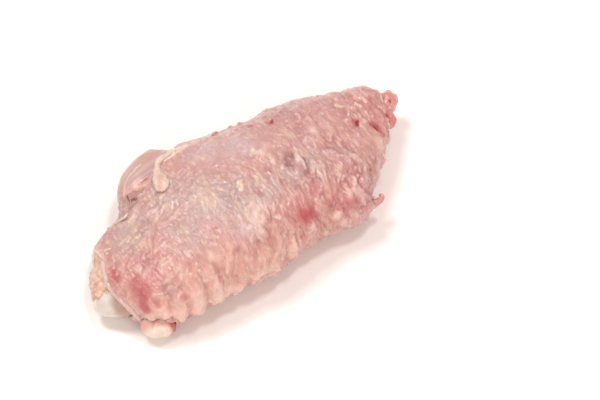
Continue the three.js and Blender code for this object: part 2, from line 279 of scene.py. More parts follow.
def muscle_material():
    """Bare muscle under its clear film: fibres that fan along the bone, lavender where the film is thick, a
    brownish outer strip, and a white line of fascia between them. Single fibres are too fine to show, so
    "fibres" are their bundles."""
    patterns = {
        "fibres": ("noise", (4, 0.4, 0.5), 10, 2),
        "broad": ("noise", (4, 3, 3), 0, 2),
        "fine": ("noise", (0.4, 0.4, 0.4), 0, 2),
    }
    layers = (
        ("broad", 0.4, 0.62, 1, "#C6A29F"),
        ("pinker", 0, 1, 0.8, "#E3B5AC"),
        ("fibres", 0.5, 0.68, 0.35, "#E2C9C2"),
        ("fibres", 0.48, 0.3, 0.35, "#B5827D"),
        ("outer_strip", 0, 1, 0.9, "#CBA08E"),
        ("tan", 0, 1, 0.8, "#CFA08B"),
        ("deep", 0, 1, 0.7, "#CCA6A0"),
        ("fascia", 0, 1, 0.85, "#EFD8CF"),
        ("nick", 0, 1, 0.95, "#8C3238"),
    )
    return flesh(
        "raw_muscle", patterns, "#CDADA7", layers, ("broad", 0.34, 0.46), (("fibres", 0.12), ("fine", 0.04)),
        coat=(0.4, 0.2),
    )


def meat_material():
    """Cut flesh round the joints: moist, pink to red, with bits of pale fat. The ends of its fibres are too
    fine to show, so "fine" is drawn a little coarser than a pixel."""
    patterns = {
        "lumps": ("noise", (1.3, 1.3, 1.3), 0, 3),
        "fine": ("noise", (0.35, 0.35, 0.35), 0, 3),
    }
    layers = (
        ("lumps", 0.4, 0.62, 1, "#C49890"),
        ("wrist", 0, 1, 0.95, "#D9918B"),
        ("torn", 0, 1, 0.8, "#CC6F6A"),
        ("fine", 0.54, 0.7, 0.45, "#EDCDC0"),
        ("fine", 0.46, 0.3, 0.35, "#AE6B66"),
        ("hole", 0, 1, 0.9, "#7A2A26"),
    )
    return flesh(
        "raw_meat", patterns, "#B58986", layers, ("fine", 0.3, 0.45), (("lumps", 0.2), ("fine", 0.08)),
        coat=(0.7, 0.12),
    )


def cartilage_material():
    """Cartilage over bone: smooth, damp, greyish white, a little translucent, pinker in the hollows, with
    painted shade.
    """
    patterns = {
        "broad": ("noise", (3, 3, 3), 0, 2),
        "fine": ("noise", (0.6, 0.6, 0.6), 0, 2),
    }
    layers = (
        ("broad", 0.42, 0.64, 1, "#D8CEC4"),
        ("fine", 0.58, 0.72, 0.3, "#E2CCBD"),
        # painted shade, darker and browner, at the lower right of the bone's end
        ("stain", 0, 1, 0.8, "#B08A78"),
    )
    return flesh(
        "damp_cartilage", patterns, "#E6DFD6", layers, ("fine", 0.28, 0.4), (("broad", 0.1), ("fine", 0.03)),
        coat=(0.6, 0.15),
    )


def joint_fat_material():
    """Soft fat and torn tissue on the joint: grainy, peach to tan with cream grains, whiter where the clear
    film of the joint lies over it."""
    patterns = {
        "grains": ("noise", (0.6, 0.6, 0.6), 0, 3),
        "broad": ("noise", (2.2, 2.2, 2.2), 0, 2),
    }
    layers = (
        ("broad", 0.4, 0.62, 1, "#DCAE98"),
        ("grains", 0.52, 0.68, 0.7, "#F1DFD0"),
        ("grains", 0.45, 0.3, 0.55, "#C4866C"),
        ("film", 0, 1, 0.8, "#EBDDD4"),
    )
    return flesh(
        "joint_fat", patterns, "#E6C4B1", layers, ("grains", 0.3, 0.5), (("grains", 0.2), ("broad", 0.1)),
        coat=(0.4, 0.12),
    )


def gristle_material():
    """Gristle: a smooth cream lump, wet, with a red rim where it was torn."""
    patterns = {
        "broad": ("noise", (2, 2, 2), 0, 3),
        "fine": ("noise", (0.5, 0.5, 0.5), 0, 2),
    }
    layers = (
        ("broad", 0.46, 0.66, 0.8, "#ECCFC0"),
        ("fine", 0.54, 0.72, 0.5, "#F6EDE4"),
        ("lip", 0, 1, 0.85, "#E0A79C"),
        ("torn", 0, 1, 0.95, "#BC5750"),
    )
    return flesh(
        "wet_gristle", patterns, "#EFE0D3", layers, ("fine", 0.26, 0.42), (("broad", 0.15), ("fine", 0.05)),
        coat=(0.4, 0.1),
    )


def fat_material():
    """Soft fat: white to butter, smooth and wet, with tan in its thin middle."""
    patterns = {
        "broad": ("noise", (1.4, 1.4, 1.4), 0, 2),
        "fine": ("noise", (0.35, 0.35, 0.35), 0, 2),
    }
    layers = (
        ("broad", 0.42, 0.62, 1, "#DDC2B2"),
        ("core", 0, 1, 0.6, "#D0A48C"),
        ("fine", 0.55, 0.7, 0.4, "#EADCD0"),
    )
    return flesh(
        "soft_fat", patterns, "#E3CCBD", layers, ("fine", 0.3, 0.45), (("broad", 0.1), ("fine", 0.05)),
        coat=(0.3, 0.12), depth=2.0,
    )


def floor_material():
    """A plain white sweep: matt paper, a shade warm so that the soft shadow is. The paper's grain is too fine
    to show, so a faint cloud of it is drawn."""
    material = bpy.data.materials.new("white_sweep")
    material.use_nodes = True
    tree = material.node_tree
    tree.nodes.clear()
    grain = draw_patterns(tree, {"grain": ("noise", (6, 6, 6), 0, 2)})["grain"]
    wanted = {"data_type": "RGBA", 6: linear("#FFFDFB"), 7: linear("#FFFBF9")}
    colour = add(tree, "ShaderNodeMix", wanted, {0: grain}).outputs[2]
    shader = add(tree, "ShaderNodeBsdfPrincipled", {"Roughness": 0.9}, {"Base Color": colour})
    add(tree, "ShaderNodeOutputMaterial", {}, {"Surface": shader.outputs[0]})
    return material


FLOOR_HALF = 2000 * MM
FLOOR_DROP = 0.05 * MM  # the wing's flat underside and the floor don't share a plane


def make_floor():
    """The floor under the wing, which is no part of it."""
    bm = bmesh.new()
    bmesh.ops.create_grid(bm, x_segments=1, y_segments=1, size=FLOOR_HALF)
    bmesh.ops.translate(bm, verts=bm.verts, vec=(0, 0, -FLOOR_DROP))
    floor = mesh_object("floor", bm, floor_material())


def mesh_object(name, bm, material):
    """A bmesh as a smooth-shaded object with its material."""
    mesh = bpy.data.meshes.new(name)
    bm.to_mesh(mesh)
    bm.free()
    mesh.shade_smooth()
    mesh.materials.append(material)
    return add_to_scene(name, mesh)


def hold(piece, node):
    """The piece stands for a CAD node, if any, whose mesh is hidden, and moves with the wing."""
    if node:
        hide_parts(node)
    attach(piece, "root")


MERGE_WITHIN = 0.002 * MM


def merged_copy(node):
    """A bmesh of a CAD node's mesh with its loose triangles joined."""
    bm = bmesh.new()
    bm.from_mesh(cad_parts[node].data)
    bmesh.ops.remove_doubles(bm, verts=bm.verts, dist=MERGE_WITHIN)
    return bm


def relax(bm, rounds):
    """Smooths a bmesh's surface by some rounds."""
    axes = {"use_axis_x": True, "use_axis_y": True, "use_axis_z": True}
    for _ in range(rounds):
        bmesh.ops.smooth_vert(bm, verts=bm.verts, factor=0.5, **axes)


def remeshed(node, voxel, rounds):
    """A bmesh of even faces over a CAD node's form, their size in millimetres, its facets smoothed away."""
    bm = merged_copy(node)
    mesh = bpy.data.meshes.new("coarse")
    bm.to_mesh(mesh)
    bm.free()
    coarse = add_to_scene("coarse", mesh)
    remesh = coarse.modifiers.new("even", "REMESH")
    remesh.mode = "VOXEL"
    remesh.voxel_size = voxel * MM
    shaped = coarse.evaluated_get(bpy.context.evaluated_depsgraph_get()).to_mesh()
    bm = bmesh.new()
    bm.from_mesh(shaped)
    bpy.data.objects.remove(coarse)
    bpy.data.meshes.remove(mesh)
    relax(bm, rounds)
    return bm


def places_and_normals(bm):
    """The places of a bmesh's vertices, in millimetres, and their normals, as arrays."""
    bm.normal_update()
    return np.array([v.co for v in bm.verts]) / MM, np.array([v.normal for v in bm.verts])


def raise_surface(bm, normals, heights):
    """Moves each vertex along its normal by a height in millimetres, and keeps it above the floor."""
    for vert, normal, rise in zip(bm.verts, normals, heights):
        vert.co += Vector(normal) * rise * MM
        vert.co.z = max(vert.co.z, 0)


def smoothstep(value, low, high):
    """0 at low, 1 at high, and smooth between; low may be the larger. Works on numbers and on arrays."""
    t = np.clip((value - low) / (high - low), 0, 1)
    return t * t * (3 - 2 * t)


def nearest_among(places):
    """A search tree over places."""
    tree = kdtree.KDTree(len(places))
    for i, place in enumerate(places):
        tree.insert(place, i)
    tree.balance()
    return tree


def noise_at(points, size, offset=0.0):
    """Smooth noise, about -0.6 to 0.6, its patches about size millimetres across along X, Y and Z."""
    placed = points / np.array(size) + offset
    return np.array([noise.noise(p) for p in placed.tolist()])


def wander(points, size, reach, offset=0.0):
    """The points moved about smoothly, by up to about reach, in patches of a size, so that what is drawn over
    them isn't straight or round."""
    placed = points / size + offset
    return points + reach * np.array([noise.noise_vector(p) for p in placed.tolist()])


def set_share(mesh, name, values):
    """Stores a share at each vertex of a mesh for its material."""
    mesh.attributes.new(name, "FLOAT", "POINT").data.foreach_set("value", np.asarray(values, np.float32))


class Sight:
    """A CAD node as the camera sees it, for placing things at the photograph's pixels."""

    def __init__(self, node):
        bm = merged_copy(node)
        self.tree = BVHTree.FromBMesh(bm)
        bm.free()

    def at(self, pixel, beside=None):
        """The place on the node, in millimetres, that lies at a pixel. Past the node's edge it is the place
        as far from the camera as the one beside it, or else the nearest on the node."""
        aside = (pixel[0] - PHOTO_WIDTH / 2) * PIXEL
        above = (PHOTO_HEIGHT / 2 - pixel[1]) * PIXEL
        direction = (PICTURE_RIGHT * aside + PICTURE_UP * above - TO_CAMERA * DISTANCE).normalized()
        start = camera_place()
        place = self.tree.ray_cast(start, direction)[0]
        if place is None and beside is not None:
            depth = (start - Vector(beside) * MM).dot(TO_CAMERA)
            place = start - direction * (depth / direction.dot(TO_CAMERA))
        elif place is None:
            place = self.tree.find_nearest(start + direction * DISTANCE)[0]
        return np.array(place) / MM


def off_path(points, path):
    """The distance of each point from a path of one place or several."""
    if len(path) == 1:
        return np.linalg.norm(points - path[0], axis=1)
    nearest = np.full(len(points), np.inf)
    for start, end in zip(path, path[1:]):
        along = end - start
        share = np.clip((points - start) @ along / (along @ along), 0, 1)
        nearest = np.minimum(nearest, np.linalg.norm(points - start - share[:, None] * along, axis=1))
    return nearest


def stroke_share(points, sight, strokes, outer=1.5, inner=0.3):
    """The share at each point of strokes: half width in millimetres, strength, and one pixel or several. A
    stroke fades out from inner to outer half widths."""
    share = np.zeros(len(points))
    for half, strength, *pixels in strokes:
        distance = off_path(points, [sight.at(pixel) for pixel in pixels])
        share = np.maximum(share, strength * smoothstep(distance, outer * half, inner * half))
    return share


class Plan:
    """The skin's outline, from its CAD node: its leading edge, trailing edge and top at each x."""

    STATIONS = 60
    MIDDLE = 0.45  # height of a section's middle as a share of its top

    def __init__(self):
        low, high = (np.array(corner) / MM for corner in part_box("skin"))
        self.stations = np.linspace(low[0], high[0], self.STATIONS)
        step = self.stations[1] - self.stations[0]
        points = np.array([v.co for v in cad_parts["skin"].data.vertices]) / MM
        near = [points[np.abs(points[:, 0] - x) < step] for x in self.stations]
        self.trailing = np.array([p[:, 1].min() for p in near])
        self.leading = np.array([p[:, 1].max() for p in near])
        self.top = np.array([p[:, 2].max() for p in near])

    def at(self, points, edge):
        """One of the plan's lines at the x of each point."""
        return np.interp(points[:, 0], self.stations, edge)

    def chord(self, points):
        """How far each point lies from the leading edge, 0, to the trailing edge, 1."""
        lead = self.at(points, self.leading)
        return np.clip((lead - points[:, 1]) / (lead - self.at(points, self.trailing)), 0, 1)

    def outward(self, points):
        """The direction from the middle of its section to each point."""
        middle = (self.at(points, self.leading) + self.at(points, self.trailing)) / 2
        height = self.MIDDLE * self.at(points, self.top)
        away = points - np.column_stack((points[:, 0], middle, height))
        return away / np.linalg.norm(away, axis=1)[:, None]


# Colour on the skin, where the photograph shows it: half width in millimetres, strength, and the pixels of
# each soft patch or stroke
SOFT_PATCHES = {
    "grey": (
        (7, 0.8, (170, 192)), (8, 1, (205, 195)), (8, 1, (235, 200)), (7, 0.8, (268, 190)),
        (7, 0.8, (130, 230)), (7, 0.7, (185, 228)), (6, 0.7, (310, 165)), (5, 0.6, (285, 175)),
    ),
    "pale": ((6, 0.9, (205, 150)), (6, 1, (235, 145)), (4, 0.5, (128, 222)), (4, 0.8, (250, 230))),
    "pink": (
        (5, 0.5, (262, 118)), (7, 0.5, (300, 115)), (6, 0.6, (335, 110)), (8, 0.75, (365, 103)),
        (6, 0.9, (382, 118)), (8, 0.9, (335, 200)), (7, 0.9, (358, 183)), (8, 0.8, (300, 215)),
        (7, 0.9, (145, 280)), (6, 0.5, (160, 258)), (4, 0.8, (120, 278)), (4, 1, (350, 202)),
        (4, 0.7, (345, 125)),
    ),
    # Peach along the trailing side is its own tone and partly painted warm bounce light
    "peach": (
        (8, 0.75, (195, 288)), (8, 0.75, (235, 272)), (7, 0.8, (268, 258)), (5, 0.7, (300, 238)),
        (5, 0.7, (330, 228)), (5, 0.8, (165, 312)), (4, 0.8, (380, 148)), (6, 0.3, (275, 215)),
    ),
    # Painted light: chiefly bounce light along the lower edge, and a few patches lighter
    "light": (
        (3.5, 0.95, (172, 316), (212, 303), (250, 284), (290, 256)), (3, 0.4, (225, 255), (205, 275)),
        (4, 0.8, (285, 245)), (5, 0.5, (205, 195)), (3, 0.5, (132, 305)),
    ),
    "cream_patch": (
        (1.8, 0.6, (378, 142), (384, 150)), (1.3, 0.7, (163, 160), (172, 154), (184, 147)),
        (1.2, 0.5, (340, 165), (337, 175)), (2, 0.3, (320, 125)), (1.6, 0.4, (128, 222), (140, 212)),
    ),
    "tissue": ((1.5, 0.9, (97, 238), (97, 250)), (1, 0.8, (101, 252), (104, 264))),
    "red": (
        (2.4, 0.6, (136, 281), (141, 297)), (1.6, 0.75, (142, 293), (146, 308)), (0.6, 0.8, (110, 270)),
        (0.6, 0.7, (115, 276)), (0.5, 0.8, (112, 275)), (1.5, 0.65, (109, 271), (116, 279)),
        (2.0, 0.7, (350, 203)), (0.8, 0.5, (129, 296)), (0.6, 0.5, (113, 289)), (1, 0.5, (170, 327)),
        (3, 0.9, (308, 214)), (1.4, 1, (309, 216)), (2.2, 0.4, (300, 205)),
        (0.8, 0.8, (356, 119), (358, 126)), (0.9, 0.9, (372, 124), (384, 133)), (1.2, 0.7, (271, 121)),
        (1, 0.6, (249, 126)), (1.8, 0.35, (107, 272), (117, 277)), (1.6, 0.5, (355, 210)),
        (1.4, 0.4, (315, 193)), (2.4, 0.3, (333, 204)), (2, 0.25, (252, 252)), (0.6, 0.6, (348, 102)),
        (1.5, 0.5, (157, 304)), (1, 0.4, (184, 298)), (1.3, 0.35, (172, 322)),
    ),
    "mauve": (
        (1.5, 1, (290, 155), (287, 166)), (1.3, 0.9, (306, 160), (310, 170)), (1.6, 0.6, (328, 148)),
        (2, 0.5, (296, 183)), (1.5, 0.5, (350, 150)), (1.2, 0.6, (334, 140), (337, 150)),
        (1.4, 0.6, (287, 183)), (3, 0.5, (168, 289)), (2.4, 0.4, (146, 266)), (1.6, 0.3, (346, 114)),
        (3, 0.3, (190, 182)), (1.2, 0.5, (315, 172), (322, 182)), (5, 0.35, (350, 165)),
        (1.5, 0.4, (300, 112)), (1.5, 0.35, (268, 112)), (3, 0.3, (245, 122)), (6, 0.35, (282, 112)),
        (5, 0.25, (225, 190)), (5, 0.25, (195, 222)),
    ),
}
# The same for spots with a clear edge
CRISP_PATCHES = {
    "blood": (
        (0.5, 0.9, (357, 121), (358, 125)), (0.42, 1, (375, 126.5), (379, 129.5)), (0.3, 1, (382, 132)),
        (0.5, 0.8, (272, 120), (271, 123)), (0.4, 0.6, (249, 126)), (1.1, 0.2, (142, 296), (143, 302)),
        (0.3, 0.6, (348, 102)), (0.8, 0.3, (307, 216)),
    ),
    "spot": (
        (0.9, 0.7, (239, 182), (241, 189)), (0.9, 0.6, (252, 150), (255, 153)),
        (1.1, 1, (164, 160), (173, 153.5), (186, 146)), (0.8, 0.5, (186, 146), (194, 142)),
        (0.35, 0.8, (108, 272)), (0.35, 0.8, (113, 268)), (0.4, 0.7, (117, 274)), (0.35, 0.7, (112, 279)),
        (0.3, 0.7, (118, 281)), (0.9, 0.4, (178, 213)), (0.9, 0.4, (165, 208)), (1.1, 0.5, (250, 228)),
        (0.6, 0.8, (336, 104), (342, 106)),
        (0.6, 0.6, (351, 108)), (0.8, 0.4, (268, 212)), (0.4, 0.4, (338, 155), (358, 155)),
        (0.8, 0.35, (340, 163), (335, 172)),
    ),
}

# Where the trailing edge is notched between two feather pockets, along X in millimetres
NOTCHES = (-34.9, -30.2, -24.8, -19.8, -13.3, -7, -1.2, 4.6, 10.2, 16, 21.6, 27.1)

# Single mounds and dents: half width and height in millimetres, and pixels
MOUNDS = (
    # Shoulders of the lobes, the pale strip and the skin under the drop
    (1.4, 0.5, (147, 316), (158, 313), (172, 313)), (1.8, 0.5, (198, 306), (196, 296)),
    (1.8, 0.5, (222, 298), (219, 288)),
    (0.9, 0.5, (163, 161), (172, 154), (184, 147)), (1.5, 0.3, (160, 166), (161, 185)),
    # Lumps beside the elbow's cut edge
    (0.6, 0.4, (108, 272)), (0.6, 0.35, (113, 269)), (0.5, 0.35, (112, 277)), (0.5, 0.3, (117, 273)),
    (0.5, 0.3, (116, 281)), (0.6, 0.3, (120, 277)),
    # Ridges and cream lumps of the back
    (0.5, 0.3, (338, 155), (358, 155)), (0.9, 0.4, (340, 163), (335, 172)),
    (0.7, 0.4, (355, 180), (350, 200)), (0.7, 0.35, (362, 176), (358, 196)),
    (0.8, 0.4, (239, 182), (241, 189)), (0.7, 0.3, (252, 150), (255, 153)),
    (0.8, 0.35, (298, 150), (291, 168)),
    # Punctures and dents
    (0.6, -0.5, (357, 121), (358, 125)), (0.6, -0.4, (374, 126), (383, 132)), (0.5, -0.3, (271, 122)),
    (0.6, -0.4, (288, 153), (286, 166)), (0.5, -0.35, (296, 178), (291, 190)),
    (0.5, -0.3, (316, 150), (320, 163)), (0.4, -0.2, (249, 126)), (0.8, -0.4, (287, 183)),
    (0.7, -0.35, (300, 160), (309, 175)),
    # The skin that ends over the gristle
    (1.2, 0.5, (146, 322), (154, 330)),
)
# Long folds across the wing, in the same form. Those with a height below 0 are troughs
LONG_FOLDS = (
    (0.5, -0.45, (219, 230), (219, 243), (225, 252), (232, 261), (239, 269)),
    (0.6, -0.35, (252, 232), (258, 242), (257, 252), (259, 264)),
    (0.35, -0.35, (261, 230), (270, 243), (277, 253)), (0.35, -0.35, (269, 230), (275, 242), (279, 251)),
    (0.35, -0.3, (289, 214), (297, 222), (304, 228), (307, 235)),
    (0.7, -0.3, (291, 240), (289, 252), (286, 262)),
    (0.4, -0.3, (212, 262), (215, 270), (219, 278)), (0.4, -0.3, (207, 279), (213, 288), (217, 293)),
    (0.4, -0.2, (173, 279), (177, 289), (184, 299), (188, 308), (191, 316)),
    (0.4, -0.2, (206, 298), (210, 308)), (0.5, -0.3, (147, 284), (149, 295), (152, 303)),
    (0.7, -0.3, (160, 288), (168, 300), (171, 310)), (0.4, -0.3, (153, 234), (154, 248), (154, 259)),
    (0.35, -0.25, (140, 238), (141, 252)), (0.5, -0.3, (231, 276), (236, 286), (238, 292)),
    (0.4, -0.25, (186, 252), (190, 264), (193, 272)),
    (0.6, 0.3, (221, 246), (225, 260), (228, 273)), (0.35, 0.3, (155.5, 242), (155.5, 257)),
    (0.3, 0.25, (228, 231), (233, 241), (236, 250)), (0.6, 0.3, (263, 243), (265, 257), (268, 267)),
    (0.5, 0.3, (209, 254), (212, 265), (216, 276)), (0.4, 0.25, (204, 279), (216, 288)),
    (0.5, 0.3, (244, 250), (249, 262), (252, 272)), (0.4, 0.2, (164, 240), (166, 256)),
    (0.5, -0.4, (289, 152), (290, 166)), (0.6, -0.45, (305, 158), (311, 168), (318, 180)),
    (0.4, -0.35, (312, 141), (316, 151), (318, 160)), (0.45, -0.4, (327, 138), (331, 149), (334, 159)),
    (0.4, -0.35, (333, 130), (338, 143)), (0.4, -0.3, (342, 108), (346, 120)),
    (0.5, -0.35, (284, 180), (288, 190)), (0.4, -0.3, (290, 193), (294, 206)),
    (0.45, -0.4, (312, 188), (316, 203), (318, 217)),
    (0.5, -0.45, (340, 189), (335, 199), (332, 211), (330, 224)),
    (0.4, -0.3, (349, 172), (348, 187)), (0.5, -0.5, (352, 207), (360, 210), (367, 208)),
    (0.4, -0.35, (374, 180), (370, 191), (369, 203)), (0.35, -0.3, (362, 160), (364, 174)),
    (0.4, -0.3, (300, 128), (303, 140)), (0.35, -0.25, (317, 112), (319, 124)),
    (0.45, 0.35, (358, 176), (356, 191)), (0.5, 0.4, (373, 185), (367, 200), (363, 213), (360, 222)),
    (0.8, 0.35, (342, 198), (341, 211), (343, 221)), (0.35, 0.3, (326, 188), (322, 204), (320, 218)),
    (0.3, 0.3, (373, 157), (372, 170), (371, 183)), (0.35, 0.3, (302, 190), (304, 203)),
    (0.4, 0.25, (280, 218), (284, 230), (287, 240)), (0.4, 0.3, (322, 160), (327, 172), (328, 184)),
)
# Where the skin is drawn smooth over what lies under it: half width, strength and pixels
CALM_STROKES = (
    (4, 1, (176, 310), (200, 304), (222, 295)), (3, 1, (158, 303)), (2.5, 0.8, (140, 292), (143, 308)),
    (3, 0.7, (248, 272), (262, 262)), (2.5, 0.6, (285, 250)), (3, 0.6, (205, 195), (215, 205)),
)
# Ringed follicles: half width of the ring, height of its rim, and the pixel of its middle
RINGS = ((2.1, 0.4, (158, 303)), (1.5, 0.3, (184, 298)), (0.8, 0.2, (130, 298)))
RING_WIDTH = 0.4  # of the rim, in millimetres
RING_PIT = 0.2  # depth of the ring's middle as a share of the rim's height
TINTED_RINGS = 2  # the first ones, which are also paler

FOLLICLE_SPACING = 2.6
FOLLICLE_HALF = 0.75  # half width of a mound, in millimetres
CHORDWISE = 0.65  # a mound is longer across the wing by one over this

# Folds of the skin: how far apart they are and how long, in millimetres, and where their noise starts
FOLDS = {
    "large": (3.1, 8.5, 0),
    "middle": (1.5, 4, 9),
    "small": (0.8, 1.8, 17),
    "streaks": (1.2, 5, 21),
    "bands": (2.8, 9, 31),
}
# Their heights in millimetres, where the skin is folded, where it is smooth, and at the elbow
LARGE_RISE, MIDDLE_RISE, SMALL_RISE = 0.42, 0.36, 0.26
SMOOTH_SMALL_RISE, SMOOTH_STREAK_RISE = 0.14, 0.15
ELBOW_STREAK_RISE, ELBOW_BAND_RISE = 0.14, 0.36
STREAK_TURN = np.array(((0.94, -0.34, 0), (0.34, 0.94, 0), (0, 0, 1)))  # the streaks run 20 degrees askew
MOUND_RISE, FOLDED_MOUND_RISE, EDGE_MOUND_RISE = 0.1, 0.1, 0.6
CREST_ROUNDING, CREST_GAIN, CREST_TOP = 0.06, 2.7, 1.2
# the crease these give is painted darker on the skin as shade
LARGE_TROUGH, MIDDLE_TROUGH = (0.3, 0), (0.25, 0)  # the heights between which a crease comes in

# Where along X, in millimetres, each of these comes in
FOLDED_FROM = (-36, -22)
ELBOW_FROM = (-16, -30)
EDGE_MOUNDS_FROM, EDGE_MOUNDS_TO = (-8, 2), (36, 24)
# Where across the wing, from the leading edge, 0, to the trailing edge, 1
FOLDED_CHORD = (0.12, 0.85)
FOLDED_CHORD_SHIFT = 0.014  # for each millimetre towards the wrist
EDGE_MOUNDS_CHORD = (0.22, 0.1)
LOBE_REACH = (6.5, 0.5)  # how far from the trailing edge the lobes end and are full


def follicles(points):
    """Places of the feather follicles, in the space squeezed across the wing, spaced by dart throwing."""
    squeezed = points * np.array((1, CHORDWISE, CHORDWISE))
    order = list(range(len(points)))
    random.shuffle(order)
    cells = {}
    kept = []
    for i in order:
        p = squeezed[i]
        cell = tuple(np.floor(p / FOLLICLE_SPACING).astype(int))
        near = (
            q
            for dx in (-1, 0, 1) for dy in (-1, 0, 1) for dz in (-1, 0, 1)
            for q in cells.get((cell[0] + dx, cell[1] + dy, cell[2] + dz), ())
        )
        if all(np.dot(p - q, p - q) > FOLLICLE_SPACING ** 2 for q in near):
            cells.setdefault(cell, []).append(p)
            kept.append(p)
    return nearest_among(kept)


def follicle_mounds(points):
    """Height from 0 to 1 of the small mounds over the follicles, each with a size of its own."""
    tree = follicles(points)
    squeezed = wander(points, size=2.5, reach=0.7) * np.array((1, CHORDWISE, CHORDWISE))
    found = [tree.find(p) for p in squeezed.tolist()]
    own = np.array([0.3 + 0.7 * noise.cell(place * 3.7) for place, _, _ in found])
    distance = np.array([away for _, _, away in found])
    return own * np.exp(-((distance / FOLLICLE_HALF) ** 2))


def folds(points, name):
    """Folds of a kind, with round crests, about 1 high, and narrow troughs, 0 high."""
    apart, long, offset = FOLDS[name]
    height = np.abs(noise_at(points, (apart, long, long), offset))
    rounded = np.sqrt(height ** 2 + CREST_ROUNDING ** 2) - CREST_ROUNDING
    return np.minimum(CREST_GAIN * rounded, CREST_TOP)


def lobes(x):
    """Height of the round lobes between the notches of the trailing edge, some higher than others."""
    notches = np.array(NOTCHES)
    after = np.clip(np.searchsorted(notches, x), 1, len(notches) - 1)
    share = np.clip((x - notches[after - 1]) / (notches[after] - notches[after - 1]), 0, 1)
    own = np.array([0.4 + 0.5 * noise.cell(Vector((1.7 * i, 0, 0))) for i in range(len(notches))])
    own[1:4] = 0.7, 0.8, 0.7  # those by the elbow, which show best
    present = smoothstep(x, notches[0] - 2, notches[0]) * smoothstep(x, notches[-1] + 2, notches[-1])
    return present * own[after] * (np.sin(math.pi * share) ** 0.7 - 0.75)


def single_forms(points, moved, tousled, sight):
    """Height of the mounds, dents, long folds and ringed follicles that show one by one."""
    height = np.zeros(len(points))
    halfway = (moved + points) / 2
    for half, rise, *pixels in MOUNDS + LONG_FOLDS:
        distance = off_path(halfway, [sight.at(pixel) for pixel in pixels])
        height += rise * np.exp(-((distance / half) ** 2))
    for half, rise, pixel in RINGS:
        distance = off_path(tousled - moved + points, [sight.at(pixel)])
        rim = np.exp(-(((distance - half) / RING_WIDTH) ** 2))
        pit = np.exp(-((distance / half) ** 2))
        height += rise * (rim - RING_PIT * pit)
    return height


def skin_relief(points, plan, sight):
    """Height of the skin's relief at each point, that of its fine part, and how deep it lies in a crease
    painted as shade.

    The relief is folds across the wing, streaks along it where it is drawn smooth to the elbow, follicle
    mounds, creases between the pockets of the flight feathers, and the forms that show one by one.
    """
    x = points[:, 0]
    chord = plan.chord(points)
    folded = smoothstep(chord + FOLDED_CHORD_SHIFT * x, *FOLDED_CHORD) * smoothstep(x, *FOLDED_FROM)
    elbow = smoothstep(x, *ELBOW_FROM)
    patchy = 0.6 + 0.9 * (noise_at(points, (9, 9, 9), 3) + 0.3)
    uneven = 0.6 + 1.1 * (noise_at(points, (3, 4, 4), 41) + 0.35)
    calm = 1 - 0.8 * stroke_share(points, sight, CALM_STROKES, outer=1.6, inner=0)

    moved = wander(wander(points, size=8, reach=2.2), size=2.8, reach=0.8, offset=5)
    tousled = wander(moved, size=1.7, reach=0.5, offset=11)
    turned = wander(points @ STREAK_TURN, size=4, reach=1.2)[:, (1, 0, 2)]
    large, middle, small = folds(moved, "large"), folds(tousled, "middle"), folds(tousled, "small")
    streaks, bands = folds(turned, "streaks"), folds(turned, "bands")

    across = LARGE_RISE * (large - 0.5) + MIDDLE_RISE * uneven * (middle - 0.5)
    height = calm * folded * patchy * across
    height += calm * (1 - folded) * elbow * ELBOW_BAND_RISE * (bands - 0.5)
    to_edge = points[:, 1] - plan.at(points, plan.trailing)
    askew = wander(points, size=6, reach=0.7, offset=30)
    height += lobes(askew[:, 0]) * smoothstep(to_edge, *LOBE_REACH)
    height += single_forms(points, moved, tousled, sight)

    streaked = (SMOOTH_STREAK_RISE * uneven + ELBOW_STREAK_RISE * elbow) * (streaks - 0.5)
    fine = folded * patchy * uneven * SMALL_RISE * (small - 0.5)
    fine += (1 - folded) * (uneven * SMOOTH_SMALL_RISE * (small - 0.5) + streaked)
    at_edge = smoothstep(chord, *EDGE_MOUNDS_CHORD)
    at_edge *= smoothstep(x, *EDGE_MOUNDS_FROM) * smoothstep(x, *EDGE_MOUNDS_TO)
    mound_rise = MOUND_RISE + FOLDED_MOUND_RISE * folded + EDGE_MOUND_RISE * at_edge
    fine += mound_rise * follicle_mounds(points)

    creased = np.maximum(smoothstep(large, *LARGE_TROUGH), 0.6 * smoothstep(middle, *MIDDLE_TROUGH))
    return height, calm * fine, folded * creased


SKIN_VOXEL, SKIN_ROUNDS = 0.75, 8
CUT_FACING = 0.22  # where normal and outward direction agree less than this, the skin is cut
# the pale rim is partly painted light on the shaded cut wall
RIM_REACH = (1.0, 0.25)  # how far from a cut edge its pale rim fades out and is full, in millimetres
OUTER_FACING = (0.0, 0.35)  # and where they agree this much, the relief starts and is full
PRESSED_LEFT = 0.15  # share of the relief left on the underside
PRESSED_TO = (0.3, 3)  # heights over the floor where the rest comes in
# the relief's crests are painted paler as highlight and its troughs darker as shade, in full at this height
FULL_CREST = 0.5  # height that takes the full colour of a crest


def rim_share(points, facing):
    """How near each point lies to a cut edge of the skin."""
    tree = nearest_among(points[np.abs(facing) < CUT_FACING])
    distance = np.array([tree.find(p)[2] for p in points.tolist()])
    return smoothstep(distance, *RIM_REACH)


